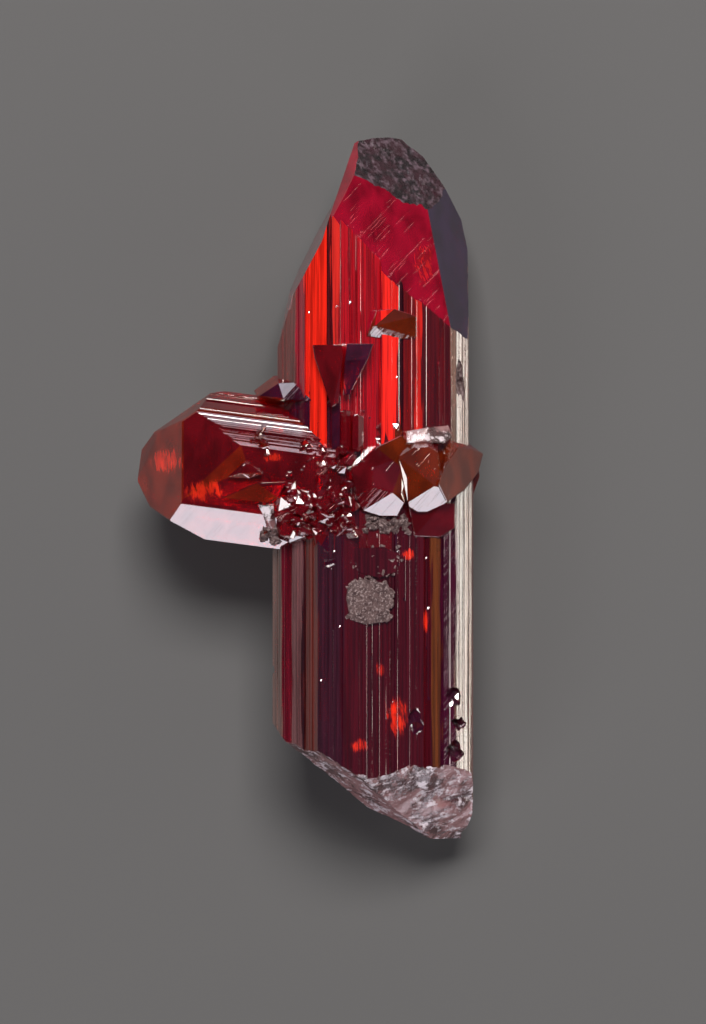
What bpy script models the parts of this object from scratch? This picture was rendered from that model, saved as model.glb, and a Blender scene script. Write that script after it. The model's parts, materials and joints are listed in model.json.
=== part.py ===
"""Proustite crystal specimen, lying on the flat contact face of its back.

A tall striated prism is crossed at mid-length by a second crystal and by smaller ones.
All of them are grown together, so the specimen is one solid.
X runs across the prism, Y along it towards the pointed end, Z up from the resting face.
"""

import math
import random

import bmesh
import bpy
from mathutils import Matrix, Vector

# Every coordinate below is counted in steps of this grid, in metres.
GRID = 0.0000637

# Ends of the prism and the place where its upper and lower parts meet.
TOP_Y = 360.0
MEET_Y = 8.0
BOTTOM_Y = -360.0

# The crossing crystal on the left: slope of its long axis and the point it turns about.
ARM_SLOPE = 7.5
ARM_PIVOT = (-134.0, 22.0)
ARM_LEFT = -260.0
ARM_RIGHT = -40.0

# Striations: spacing and height of the growth steps.
STEP_SPACING = 6.5
STEP_HEIGHT = 0.9

# Cross section of the prism above the crossing crystals, from the left edge over the front.
UPPER_FRONT = [
    (-96, 135), (-76, 157), (-74, 158), (-69, 165), (-68, 163), (-47, 178), (-46, 174),
    (-43, 173), (-42, 177), (-34, 176), (-33, 173), (6, 162), (7, 166), (24, 161),
    (25, 157), (28, 156), (29, 158), (41, 155), (47, 149), (76, 141), (82, 134), (93, 123),
    (94, 112),
]
UPPER_BACK_RIGHT = [(94, 112), (94, 70), (80, 50), (82, 46), (62, 26), (63, 22), (47, 0)]
UPPER_BACK_LEFT = [
    (-40, 0), (-60, 8), (-62, 12), (-76, 16), (-78, 30), (-84, 58), (-82, 62), (-90, 98),
    (-89, 102), (-96, 135),
]

# The same below the crossing crystals, where the prism is a little wider.
LOWER_FRONT = [
    (-101, 133), (-92, 146), (-83, 150), (-82, 154), (-72, 163), (-69, 162), (-60, 172),
    (-56, 179), (-32, 172), (-31, 174), (-8, 167), (-7, 164), (20, 157), (21, 159),
    (49, 150), (50, 146), (56, 147), (68, 142), (69, 145), (82, 137), (97, 122), (99, 110),
]
LOWER_BACK_RIGHT = [(99, 110), (99, 66), (86, 50), (88, 46), (66, 24), (67, 20), (50, 0)]
LOWER_BACK_LEFT = [
    (-42, 0), (-62, 8), (-64, 12), (-78, 16), (-80, 30), (-86, 58), (-85, 62), (-92, 98),
    (-91, 102), (-101, 133),
]

# Planes that bound the pointed end, each by three points, and the same for the broken end.
TOP_PLANES = [
    ((-43, 272, 177), (76, 159, 141), (53, 281, 106)),
    ((53, 281, 106), (76, 159, 141), (92, 263, 60)),
    ((-18, 312, 142), (53, 281, 106), (17, 355, 66)),
    ((-96, 146, 110), (-83, 193, 110), (-92, 146, 170)),
    ((47, 341, 60), (93, 260, 60), (60, 288, 0)),
    ((30, 351, 60), (47, 341, 60), (22, 320, 20)),
    ((-20, 344, 100), (3, 351, 84), (-16, 330, 50)),
    ((3, 352, 80), (30, 353, 60), (10, 300, 4)),
]
BOTTOM_PLANES = [
    ((-71, -256, 172), (-25, -281, 172), (0, -316, 90)),
    ((6, -284, 163), (78, -281, 137), (60, -353, 66)),
    ((101, -318, 66), (93, -345, 66), (100, -330, 100)),
    ((-101, -226, 100), (-60, -262, 60), (-60, -248, 0)),
    ((0, -318, 40), (66, -354, 50), (30, -320, 0)),
]

# Planes of the two notches that step the left edge in below the point.
NOTCH_PLANES = [
    [((-83, 193, 110), (-43, 271, 110), (-78, 193, 170)), ((-41, 268, 177), (-18, 312, 142), (-20, 343, 104))],
    [((-83, 193, 110), (-43, 271, 110), (-78, 193, 170)), ((-43, 271, 160), (-20, 343, 100), (-41, 271, 30))],
]

# Cross section of the crossing crystal on the left, and the planes of its blunt end.
ARM_OUTLINE = [
    (72, 112), (61, 146), (59, 147), (50, 163), (48, 163), (20, 182), (-45, 168), (-77, 143), (-76, 110),
    (-70, 46), (-66, 40), (-24, 12), (-20, 10), (40, 12), (44, 18), (68, 52),
]
ARM_PLANES = [
    ((-190, 75, 159), (-190, 14, 166), (-237, 7, 104)),
    ((-177, 78, 163), (-130, 38, 183), (-190, 14, 166)),
    ((-196, 72, 120), (-222, 53, 120), (-190, 64, 172)),
    ((-222, 53, 112), (-237, 7, 104), (-205, 40, 160)),
    ((-232, -5, 118), (-193, -14, 160), (-209, -28, 140)),
    ((-209, -28, 140), (-165, -53, 143), (-192, -15, 160)),
    ((-237, 7, 104), (-235, -6, 100), (-198, 0, 20)),
    ((-196, 72, 120), (-222, 53, 112), (-185, 30, 10)),
    ((-209, -28, 140), (-165, -53, 143), (-190, -30, 12)),
    ((-237, 7, 104), (-232, -5, 118), (-209, -28, 90)),
]

# Small crystals as the corner points of their convex bodies.
CRYSTALS = {
    "lens": [
        (-120, 97, 120), (-100, 112, 122), (-85, 113, 124), (-62, 106, 128), (-60, 86, 168),
        (-90, 88, 164), (-115, 91, 150), (-95, 104, 152), (-75, 105, 154), (-110, 76, 100), (-60, 76, 100),
    ],
    "blade left": [
        (-61, 141, 180), (-32, 141, 193), (-59, 128, 181), (-31, 130, 195), (-42, 79, 188),
        (-35, 84, 186), (-61, 141, 150), (-30, 141, 150), (-40, 79, 150),
    ],
    "blade right": [
        (-27, 142, 193), (-1, 142, 186), (-6, 127, 189), (-24, 92, 184), (-31, 91, 186),
        (-29, 125, 197), (-27, 142, 150), (-1, 142, 150), (-28, 91, 150),
    ],
    "rod left": [
        (-33, 76, 180), (-28, 77, 187), (-23, 76, 180), (-33, 40, 181), (-28, 38, 188),
        (-23, 40, 181), (-28, 76, 150), (-28, 38, 150),
    ],
    "rod right": [
        (-22, 71, 180), (-16, 73, 188), (-10, 70, 180), (-22, 38, 182), (-16, 35, 190),
        (-10, 38, 182), (-16, 71, 150), (-16, 36, 150),
    ],
    "cluster left": [
        (2, 40, 178), (27, 52, 166), (39, 41, 168), (18, 27, 180), (-23, 16, 183), (-2, 20, 187),
        (27, 20, 179), (-1, 1, 189), (18, -5, 184), (27, -6, 180), (30, -15, 175), (-18, -8, 182),
        (23, -28, 165), (5, -28, 168), (-11, -23, 173), (0, 44, 130), (38, 44, 130), (20, -30, 130),
        (-16, -20, 130),
    ],
    "cluster middle": [
        (24, 30, 183), (40, 40, 180), (53, 41, 177), (63, 35, 175), (64, 12, 175), (59, 2, 176),
        (43, -8, 180), (32, 12, 182), (33, -14, 180), (64, 1, 174), (72, -14, 160), (66, -18, 158),
        (53, -24, 155), (43, -24, 159), (34, -19, 169), (24, 34, 120), (63, 52, 130), (40, 56, 140),
        (72, -14, 120), (40, -22, 120),
    ],
    "cluster right": [
        (69, 20, 172), (83, 40, 150), (99, 38, 128), (106, 28, 121), (104, 16, 128),
        (90, -2, 152), (72, -14, 174), (63, 4, 183), (109, 34, 112), (95, 44, 112), (72, 52, 130),
        (80, 50, 84), (100, 30, 78), (90, -2, 84), (70, -14, 90),
    ],
    "cluster back": [
        (104, 30, 96), (106, 12, 92), (96, -16, 90), (100, 26, 52), (96, 4, 40), (84, -18, 40),
        (70, 30, 26), (66, -10, 24), (70, 34, 90), (74, -20, 90),
    ],
    "bank": [
        (44, 56, 160), (66, 60, 158), (92, 62, 128), (98, 50, 112), (84, 44, 150), (60, 46, 166),
        (44, 44, 168), (50, 50, 120), (90, 50, 90),
    ],
    "ridge left": [
        (-151, -10, 176), (-116, 5, 184), (-86, 6, 184), (-95, -10, 181), (-106, -15, 178),
        (-140, -6, 160), (-90, 0, 160), (-100, -12, 150),
    ],
    "wedge left": [
        (-146, 10, 181), (-128, 26, 184), (-123, 9, 184), (-110, 14, 184), (-130, 14, 189),
        (-140, 10, 160), (-115, 14, 160),
    ],
    "beige ridge": [
        (-116, -16, 170), (-100, -18, 176), (-94, -52, 150), (-106, -56, 138), (-104, -36, 168),
        (-112, -30, 120), (-90, -30, 120),
    ],
    "cluster foot": [
        (34, -17, 164), (80, -15, 150), (80, -40, 144), (66, -49, 146), (40, -48, 154),
        (34, -20, 130), (82, -20, 120), (60, -52, 120),
    ],
    "step below": [
        (-97, -32, 168), (-84, -31, 176), (-65, -35, 178), (-58, -45, 174), (-61, -51, 164),
        (-84, -55, 158), (-96, -50, 156), (-90, -30, 130), (-60, -52, 130),
    ],
    "chip below": [
        (-60, -46, 180), (-46, -46, 181), (-44, -64, 176), (-56, -64, 176), (-60, -60, 150), (-44, -64, 150),
    ],
    "ledge": [
        (-8, 176, 160), (3, 175, 172), (42, 170, 162), (42, 148, 156), (-8, 150, 168), (0, 160, 174),
        (-8, 170, 150), (42, 160, 140),
    ],
}

# Hollows cut out of the prism: pits, chips and the bowl of the broken end.
# Each one is centre, radii and slope about Z in degrees.
HOLLOWS = [
    ((-41, -75, 178), (12, 6, 5), 10),
    ((66, -320, 128), (44, 38, 38), -8),
    ((30, -327, 126), (26, 28, 28), -30),
    ((80, -208, 138), (9, 10, 12), 0),
    ((82, -234, 132), (9, 8, 12), 0),
    ((80, -262, 138), (12, 12, 16), 20),
    ((42, -232, 153), (11, 15, 5), 15),
    ((97, -110, 100), (7, 18, 9), 5),
    ((-100, -180, 128), (6, 14, 8), 0),
    ((-88, -120, 60), (8, 20, 14), 0),
    ((88, 190, 60), (10, 26, 14), 12),
    ((80, 108, 142), (7, 22, 8), 10),
    ((-88, 190, 150), (9, 14, 8), 0),
]

# Fields of small crystals and crust: reach in X, reach in Y, height of their centres at the
# left and right edge, count, smallest and largest radius, flatness and seed.
FIELDS = [
    ((-88, -22), (-46, 40), (172, 175), 30, (9, 15), 0.9, 8),
    ((-24, 14), (-130, -96), (169, 155), 30, (4, 8), 0.6, 3),
    ((-9, 34), (-44, -28), (166, 154), 20, (4, 8), 0.9, 5),
    ((-112, -96), (-54, -20), (152, 162), 14, (4, 8), 0.9, 9),
    ((-128, -106), (26, 60), (172, 180), 14, (4, 7), 0.9, 7),
    ((-10, 24), (40, 70), (160, 158), 10, (6, 12), 0.8, 12),
    ((-60, 0), (62, 76), (172, 162), 8, (5, 9), 0.9, 13),
]

SPECIMEN_COLOUR = (0.20, 0.012, 0.018, 1.0)


def clear_scene():
    """Remove every object that a new file starts with."""
    for item in list(bpy.data.objects):
        bpy.data.objects.remove(item, do_unlink=True)


def make_object(name, body):
    """Turn a bmesh into an object of the scene, in metres and with its faces outward."""
    bmesh.ops.recalc_face_normals(body, faces=body.faces)
    bmesh.ops.scale(body, verts=body.verts, vec=(GRID, GRID, GRID))
    mesh = bpy.data.meshes.new(name)
    body.to_mesh(mesh)
    body.free()
    item = bpy.data.objects.new(name, mesh)
    bpy.context.scene.collection.objects.link(item)
    return item


def stepped(corners, seed):
    """Add the small growth steps of the striations between the corners of an open outline."""
    chance = random.Random(seed)
    points = [corners[0]]
    for start, end in zip(corners[:-1], corners[1:]):
        run = Vector((end[0] - start[0], end[1] - start[1]))
        count = int(run.length / STEP_SPACING)
        side = Vector((-run.y, run.x)).normalized()
        place = 0.0
        for index in range(1, count):
            place = (index + chance.uniform(-0.3, 0.3)) / count
            here = Vector(start) + run * place
            lift = side * chance.choice((0.6, 1.0, 1.3)) * STEP_HEIGHT
            if index % 2:
                lift = -lift * 0.3
            points.append((here.x + lift.x, here.y + lift.y))
            points.append((here.x - lift.x * 0.2 + run.x * 0.02 / count, here.y - lift.y * 0.2))
        points.append(end)
    return points


def ring_of(front, back_right, back_left, seed):
    """Join the stepped front and back of a cross section, leaving the resting side flat."""
    sides = stepped(back_left, seed + 10)
    return stepped(front, seed) + stepped(back_right, seed + 20)[1:] + sides[:-1]


def extruded(name, outline, start, end):
    """Make a closed body from an outline in X and Z, drawn out along Y."""
    body = bmesh.new()
    near = [body.verts.new((x, start, z)) for x, z in outline]
    far = [body.verts.new((x, end, z)) for x, z in outline]
    body.faces.new(near)
    body.faces.new(list(reversed(far)))
    for index in range(len(outline)):
        after = (index + 1) % len(outline)
        body.faces.new((near[after], near[index], far[index], far[after]))
    return make_object(name, body)


def envelope(name, low, high, planes, inside):
    """Make a convex body: a block cut by planes that keep the side of one inner point."""
    body = bmesh.new()
    bmesh.ops.create_cube(body, size=1.0)
    size = Vector(high) - Vector(low)
    bmesh.ops.scale(body, verts=body.verts, vec=size)
    bmesh.ops.translate(body, verts=body.verts, vec=(Vector(high) + Vector(low)) / 2)
    for first, second, third in planes:
        normal = (Vector(second) - Vector(first)).cross(Vector(third) - Vector(first)).normalized()
        if normal.dot(Vector(inside) - Vector(first)) > 0:
            normal.negate()
        geometry = list(body.verts) + list(body.edges) + list(body.faces)
        cut = bmesh.ops.bisect_plane(
            body, geom=geometry, dist=0.001, plane_co=first, plane_no=normal, clear_outer=True
        )
        rim = [piece for piece in cut["geom_cut"] if isinstance(piece, bmesh.types.BMEdge)]
        if rim:
            bmesh.ops.contextual_create(body, geom=rim)
    return make_object(name, body)


def hull(name, points):
    """Make the convex body around a set of corner points."""
    body = bmesh.new()
    for point in points:
        body.verts.new(point)
    made = bmesh.ops.convex_hull(body, input=body.verts)
    spare = {piece for piece in made["geom_interior"] + made["geom_unused"]}
    spare = [piece for piece in spare if isinstance(piece, bmesh.types.BMVert)]
    bmesh.ops.delete(body, geom=spare, context="VERTS")
    bmesh.ops.dissolve_limit(body, angle_limit=math.radians(1.0), verts=body.verts, edges=body.edges)
    return make_object(name, body)


def chipped(name, centre, radii, slope, seed):
    """Make an uneven faceted body with three radii, turned about Z, that cuts a chip."""
    chance = random.Random(seed)
    body = bmesh.new()
    bmesh.ops.create_icosphere(body, subdivisions=2, radius=1.0)
    for vert in body.verts:
        vert.co *= chance.uniform(0.78, 1.06)
    bmesh.ops.scale(body, verts=body.verts, vec=radii)
    bmesh.ops.rotate(body, verts=body.verts, matrix=Matrix.Rotation(math.radians(slope), 3, "Z"))
    bmesh.ops.translate(body, verts=body.verts, vec=centre)
    return make_object(name, body)


def combine(base, other, operation):
    """Apply one exact Boolean to the base and hide the other body as a cutter."""
    other.hide_render = True
    other.display_type = "WIRE"
    step = base.modifiers.new(other.name, "BOOLEAN")
    step.operation = operation
    step.solver = "EXACT"
    step.object = other
    bpy.context.view_layer.update()
    graph = bpy.context.evaluated_depsgraph_get()
    mesh = bpy.data.meshes.new_from_object(base.evaluated_get(graph))
    base.modifiers.clear()
    base.data = mesh
    bpy.data.objects.remove(other, do_unlink=True)


def build_prism():
    """Build the tall prism with its pointed end and its broken end."""
    outline = ring_of(UPPER_FRONT, UPPER_BACK_RIGHT, UPPER_BACK_LEFT, 1)
    upper = extruded("prism", outline, MEET_Y - 20, TOP_Y)
    ends = envelope("point", (-200, -100, -50), (200, 355, 260), TOP_PLANES, (0, 100, 90))
    combine(upper, ends, "INTERSECT")
    for planes in NOTCH_PLANES:
        notch = envelope("notch", (-200, 100, -50), (100, 500, 260), planes, (-150, 400, 90))
        combine(upper, notch, "DIFFERENCE")
    outline = ring_of(LOWER_FRONT, LOWER_BACK_RIGHT, LOWER_BACK_LEFT, 2)
    lower = extruded("lower", outline, BOTTOM_Y, MEET_Y)
    ends = envelope("break", (-200, -353, -50), (200, 100, 260), BOTTOM_PLANES, (0, -100, 90))
    combine(lower, ends, "INTERSECT")
    combine(upper, lower, "UNION")
    return upper


def build_arm():
    """Build the crystal that crosses the prism on the left."""
    outline = stepped(ARM_OUTLINE[:6], 4) + ARM_OUTLINE[6:]
    body = bmesh.new()
    near = [body.verts.new((ARM_LEFT, v, z)) for v, z in outline]
    far = [body.verts.new((ARM_RIGHT, v, z)) for v, z in outline]
    body.faces.new(near)
    body.faces.new(list(reversed(far)))
    for index in range(len(outline)):
        after = (index + 1) % len(outline)
        body.faces.new((near[after], near[index], far[index], far[after]))
    turn = Matrix.Rotation(math.radians(-ARM_SLOPE), 3, "Z")
    pivot = Vector((ARM_PIVOT[0], ARM_PIVOT[1], 0))
    for vert in body.verts:
        flat = Vector((vert.co.x - pivot.x, vert.co.y, vert.co.z))
        vert.co = turn @ flat + pivot
    arm = make_object("arm", body)
    ends = envelope("arm end", (-300, -200, -50), (0, 200, 260), ARM_PLANES, (-134, 22, 90))
    combine(arm, ends, "INTERSECT")
    return arm


def build_lumps():
    """Build the small crystals and grains of every field as separate convex bodies."""
    grains = []
    for number, (across, along, height, count, radii, flatness, seed) in enumerate(FIELDS):
        chance = random.Random(seed)
        for index in range(count):
            x = chance.uniform(*across)
            y = chance.uniform(*along)
            share = (x - across[0]) / (across[1] - across[0])
            z = height[0] + (height[1] - height[0]) * share
            size = chance.uniform(*radii)
            points = []
            for corner in range(9):
                away = Vector((chance.gauss(0, 1), chance.gauss(0, 1), chance.gauss(0, 1))).normalized()
                points.append((x + away.x * size, y + away.y * size, z + away.z * size * flatness))
            grains.append(hull(f"grain {number}-{index}", points))
    return grains


def drop_loose(specimen):
    """Remove grains that touch nothing, so that one body is left."""
    body = bmesh.new()
    body.from_mesh(specimen.data)
    left = set(body.verts)
    groups = []
    while left:
        group = set()
        queue = [left.pop()]
        while queue:
            vert = queue.pop()
            group.add(vert)
            for edge in vert.link_edges:
                other = edge.other_vert(vert)
                if other in left:
                    left.discard(other)
                    queue.append(other)
        groups.append(group)
    groups.sort(key=len, reverse=True)
    for group in groups[1:]:
        bmesh.ops.delete(body, geom=list(group), context="VERTS")
    body.to_mesh(specimen.data)
    body.free()


def finish(specimen):
    """Name the solid, give it its colour and keep its faces flat."""
    specimen.name = "proustite"
    specimen.data.name = "proustite"
    colour = bpy.data.materials.new("proustite red")
    colour.use_nodes = True
    shader = colour.node_tree.nodes["Principled BSDF"]
    shader.inputs["Base Color"].default_value = SPECIMEN_COLOUR
    shader.inputs["Roughness"].default_value = 0.2
    specimen.data.materials.clear()
    specimen.data.materials.append(colour)
    for face in specimen.data.polygons:
        face.use_smooth = False


def main():
    """Build the whole specimen."""
    clear_scene()
    specimen = build_prism()
    combine(specimen, build_arm(), "UNION")
    for name, points in CRYSTALS.items():
        combine(specimen, hull(name, points), "UNION")
    for grain in build_lumps():
        combine(specimen, grain, "UNION")
    for index, (centre, radii, slope) in enumerate(HOLLOWS):
        combine(specimen, chipped(f"hollow {index}", centre, radii, slope, index), "DIFFERENCE")
    drop_loose(specimen)
    finish(specimen)


main()
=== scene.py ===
"""Proustite crystal specimen: the finished look of the one solid of the frame.

A tall striated prism lies on its back, crossed at mid-length by a second crystal on the left, by
dark glassy crystals on the right and by a mosaic of small ones between them. Lengths below are
counted in steps of the grid that the solid is drawn on: X across the prism, Y along it towards
the point, Z up from the resting face.
"""

from __future__ import annotations

import json
import logging
import math
import random
from dataclasses import dataclass
from enum import Enum, IntEnum

import bpy
from mathutils import Matrix, Vector, noise

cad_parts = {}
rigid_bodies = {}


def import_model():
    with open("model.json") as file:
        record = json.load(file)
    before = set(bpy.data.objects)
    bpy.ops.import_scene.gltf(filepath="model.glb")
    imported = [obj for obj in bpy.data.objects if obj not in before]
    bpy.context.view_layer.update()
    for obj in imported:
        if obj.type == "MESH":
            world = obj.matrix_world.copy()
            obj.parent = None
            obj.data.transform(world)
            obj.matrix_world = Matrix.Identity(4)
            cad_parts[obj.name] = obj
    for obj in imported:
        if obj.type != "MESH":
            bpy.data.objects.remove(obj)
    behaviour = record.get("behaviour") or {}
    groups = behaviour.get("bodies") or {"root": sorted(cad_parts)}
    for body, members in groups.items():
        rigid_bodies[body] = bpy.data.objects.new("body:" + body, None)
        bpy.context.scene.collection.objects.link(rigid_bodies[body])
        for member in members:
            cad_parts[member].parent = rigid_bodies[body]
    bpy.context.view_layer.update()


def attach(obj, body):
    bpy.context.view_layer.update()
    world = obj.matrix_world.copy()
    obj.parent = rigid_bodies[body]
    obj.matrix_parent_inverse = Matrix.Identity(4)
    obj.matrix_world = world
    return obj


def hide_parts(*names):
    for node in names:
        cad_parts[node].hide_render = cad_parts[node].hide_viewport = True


LOG = logging.getLogger("proustite")

# Metres in one grid step, a length past every edge in grid steps, and the turn of the crossing crystal.
GRID = 0.0000637
FAR = 1000.0
ARM_SLOPE = 7.5
ARM_AXIS = Vector((-math.cos(math.radians(ARM_SLOPE)), math.sin(math.radians(ARM_SLOPE)), 0))

# Edges flatter than FLAT are dissolved and edges sharper than SHARP are bevelled, in degrees.
FLAT = 2.5
SHARP = 25.0
EDGE = 0.7
ON_PLANE = 0.001

# Strides and drops of the growth steps, as shares of their means, and how the steps are held to the face.
STRIDES = (0.45, 0.7, 1.0, 1.0, 1.5, 2.2)
DROPS = (0.35, 0.7, 1.0, 1.6)
LAST_STRIDE = 0.4
RETURN = 0.5
DROP_SHARE = 0.6
DEEPEST = 1.4
STEEPEST = 0.35
STEEPNESS = 0.08

# How the ridges of a break wander, how uneven a chip is, and the number of corners of a grain.
BEND = 1.4
BEND_PACE = 0.6
RIDGE_PACE = 0.7
CHIP_PACE = 1.3
CHIP_CORE = 0.92
CHIP_SWELL = 0.55
CHIP_SOURCES = 50
GRAIN_CORNERS = 10

Point = tuple[float, float, float]
Plane = tuple[Point, Point, Point]
Corner = tuple[float, float]
Corners = tuple[Corner, ...]
Body = bpy.types.Object
Socket = bpy.types.NodeSocket


class Coat(IntEnum):
    """The finishes of the stone, in the order of the material slots."""

    CRYSTAL = 0
    FRACTURE = 1
    FROSTED = 2
    CRUST = 3


class Join(Enum):
    """How one body is combined with another."""

    ADD = "UNION"
    CUT = "DIFFERENCE"
    KEEP = "INTERSECT"


class Layer(IntEnum):
    """The layers of a relief, by the shift of their noise."""

    SWELL = 0
    RIDGE = 3
    GRIT = 5
    BEND = 7


class Grain(IntEnum):
    """The direction in which a face carries its fine lines."""

    PRISM = 0
    ARM = 1
    NONE = 2


class Tint(Enum):
    """The hue of a zone of the stone and the share of it that is clear. Some hues are painted light: the
    bright orange and, in part, the crimson stand for light glowing through the stone, and the violet and
    dusk hues are a painted purple reflection.
    """

    # painted glow: a bright orange with little of it clear, standing for light that comes through the
    # crossing crystal
    ORANGE = (0.62, 0.040, 0.010, 0.70)
    # partly painted glow: the stone's crimson, made bright and half opaque to stand for light coming through
    # the point
    CRIMSON = (0.57, 0.006, 0.038, 0.50)
    WINE = (0.34, 0.006, 0.016, 0.68)
    AMBER = (0.27, 0.028, 0.003, 0.52)
    # painted reflection: a dark purple over the stone's red, standing for the lilac lights mirrored in the
    # faces
    DUSK = (0.16, 0.012, 0.06, 0.75)
    # painted reflection: a darker violet for the faces that look right and for the tip
    VIOLET = (0.045, 0.012, 0.075, 0.62)
    PLAIN = (0.42, 0.012, 0.022, 0.72)


def leave_edit() -> None:
    """Go back to object mode with nothing selected."""
    if bpy.context.object and bpy.context.object.mode != "OBJECT":
        bpy.ops.object.mode_set(mode="OBJECT")
    bpy.ops.object.select_all(action="DESELECT")


def take(item: Body) -> None:
    """Select one object alone and make it active.

    Args:
        item: The object.
    """
    leave_edit()
    item.select_set(True)
    bpy.context.view_layer.objects.active = item


def edit_all(item: Body) -> None:
    """Open one object for editing with all of its mesh selected.

    Args:
        item: The object.
    """
    take(item)
    bpy.ops.object.mode_set(mode="EDIT")
    bpy.ops.mesh.select_all(action="SELECT")


def name_new(name: str) -> Body:
    """Name the object that an operator has just added and give it a slot for each finish.

    Args:
        name: The new name.

    Returns:
        The named object.
    """
    item = bpy.context.object
    item.name = name
    item.data.name = name
    for slot in Coat:
        item.data.materials.append(bpy.data.materials[slot.name.lower()])
    return item


def paint_all(item: Body, coat: Coat) -> Body:
    """Give all faces of a body one finish."""
    for face in item.data.polygons:
        face.material_index = coat
    return item


def settle(item: Body, coat: Coat) -> Body:
    """Turn the faces of a closed body outward and give them one finish.

    Args:
        item: The body.
        coat: The finish.

    Returns:
        The same body.
    """
    edit_all(item)
    bpy.ops.mesh.normals_make_consistent(inside=False)
    leave_edit()
    return paint_all(item, coat)


def drawn_out(name: str, ring: list[Corner], start: float, end: float) -> Body:
    """Make a prism of clear stone: an outline in X and Z that is extruded along Y.

    Args:
        name: Name of the body.
        ring: The closed outline, in grid steps.
        start: Where the prism starts along Y.
        end: Where it ends.

    Returns:
        The closed prism.
    """
    leave_edit()
    bpy.ops.mesh.primitive_circle_add(vertices=len(ring), radius=1.0, fill_type="NGON")
    item = name_new(name)
    for vert, (x, z) in zip(item.data.vertices, ring):
        vert.co = (x, start, z)
    edit_all(item)
    bpy.ops.mesh.extrude_region_move(TRANSFORM_OT_translate={"value": (0, end - start, 0)})
    return settle(item, Coat.CRYSTAL)


def bevel(item: Body, width: float, angle: float) -> None:
    """Break the sharp edges of a body with one narrow face.

    Args:
        item: The body.
        width: Width of the bevel, in grid steps.
        angle: Edges sharper than this many degrees are broken.
    """
    take(item)
    step = item.modifiers.new("edge", "BEVEL")
    step.width = width
    step.segments = 1
    step.limit_method = "ANGLE"
    step.angle_limit = math.radians(angle)
    bpy.ops.object.modifier_apply(modifier=step.name)


def hull(name: str, points: list[Point] | tuple[Point, ...], coat: Coat, edge: float = 0.0) -> Body:
    """Make the convex crystal around its corner points.

    Args:
        name: Name of the crystal.
        points: Corner points, in grid steps.
        coat: The finish of its faces.
        edge: Width of the fine bevel on its edges, or 0 for none.

    Returns:
        The closed crystal.
    """
    leave_edit()
    bpy.ops.mesh.primitive_circle_add(vertices=len(points), radius=1.0, fill_type="NOTHING")
    item = name_new(name)
    for vert, point in zip(item.data.vertices, points):
        vert.co = point
    edit_all(item)
    bpy.ops.mesh.delete(type="EDGE_FACE")
    bpy.ops.mesh.select_all(action="SELECT")
    bpy.ops.mesh.convex_hull(join_triangles=False)
    if edge:
        bpy.ops.mesh.select_all(action="SELECT")
        bpy.ops.mesh.dissolve_limited(angle_limit=math.radians(FLAT))
    settle(item, coat)
    if edge:
        bevel(item, edge, SHARP)
    return paint_all(item, coat)


def outward(plane: Plane, inside: Point) -> Vector:
    """Find the unit normal of a plane that points away from an inner point.

    Args:
        plane: Three points of the plane.
        inside: A point on its inner side.

    Returns:
        The outward normal.
    """
    first, second, third = (Vector(point) for point in plane)
    normal = (second - first).cross(third - first).normalized()
    if normal.dot(Vector(inside) - first) > 0:
        normal.negate()
    return normal


def block(name: str, box: tuple[Point, Point], planes: tuple[Plane, ...], inside: Point, coat: Coat) -> Body:
    """Make a convex body: a block that planes are cut off.

    Args:
        name: Name of the body.
        box: Lowest and highest corner of the block.
        planes: The cutting planes, by three points each.
        inside: A point that stays.
        coat: The finish of its faces.

    Returns:
        The closed body.
    """
    leave_edit()
    bpy.ops.mesh.primitive_cube_add(size=1.0)
    item = name_new(name)
    low, high = (Vector(corner) for corner in box)
    middle = (low + high) / 2
    for vert in item.data.vertices:
        vert.co = Vector(vert.co) * (high - low) + middle
    edit_all(item)
    for plane in planes:
        away = outward(plane, inside)
        bpy.ops.mesh.select_all(action="SELECT")
        bpy.ops.mesh.bisect(
            plane_co=plane[0], plane_no=away, use_fill=True, clear_outer=True, threshold=ON_PLANE
        )
    return settle(item, coat)


def combine(base: Body, other: Body, how: Join) -> None:
    """Combine a body with another by an exact Boolean and remove the other.

    Args:
        base: The body that is changed.
        other: The body that is used up.
        how: Whether the other is added, cut out or kept.
    """
    take(base)
    step = base.modifiers.new("join", "BOOLEAN")
    step.operation = how.value
    step.solver = "EXACT"
    step.object = other
    bpy.ops.object.modifier_apply(modifier=step.name)
    mesh = other.data
    bpy.data.objects.remove(other, do_unlink=True)
    bpy.data.meshes.remove(mesh)


def grown(items: list[Body]) -> Body:
    """Grow several bodies together in one.

    Args:
        items: The bodies, which are used up.

    Returns:
        The body they make.
    """
    for item in items[1:]:
        combine(items[0], item, Join.ADD)
    return items[0]


@dataclass(frozen=True)
class Relief:
    """The unevenness of a broken face: broad swells, sharp ridges and fine grit, each with its size.

    The seed is its place in the noise, and cells the faces along each side of the sheet that carries it.
    """

    swell: float
    swell_size: float
    ridge: float
    ridge_size: float
    grit: float
    grit_size: float
    seed: float
    cells: int

    def noise(self, u: float, v: float, layer: Layer) -> float:
        """Give the noise of one layer at a place of its own scale."""
        return noise.noise(Vector((u, v, self.seed + layer)))

    def height(self, u: float, v: float) -> float:
        """Give the height of the relief at a place on the face.

        Args:
            u: First coordinate on the face, in grid steps.
            v: Second coordinate.

        Returns:
            The height in grid steps.
        """
        across = u / self.ridge_size
        along = v / self.ridge_size
        wave = self.noise(u / self.swell_size, v / self.swell_size, Layer.SWELL)
        bend = self.noise(across * BEND_PACE, along * BEND_PACE, Layer.BEND) * BEND
        fold = abs(self.noise(across + bend, along * RIDGE_PACE, Layer.RIDGE))
        grain = self.noise(u / self.grit_size, v / self.grit_size, Layer.GRIT)
        return wave * self.swell - (0.5 - fold) * self.ridge + grain * self.grit


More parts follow.
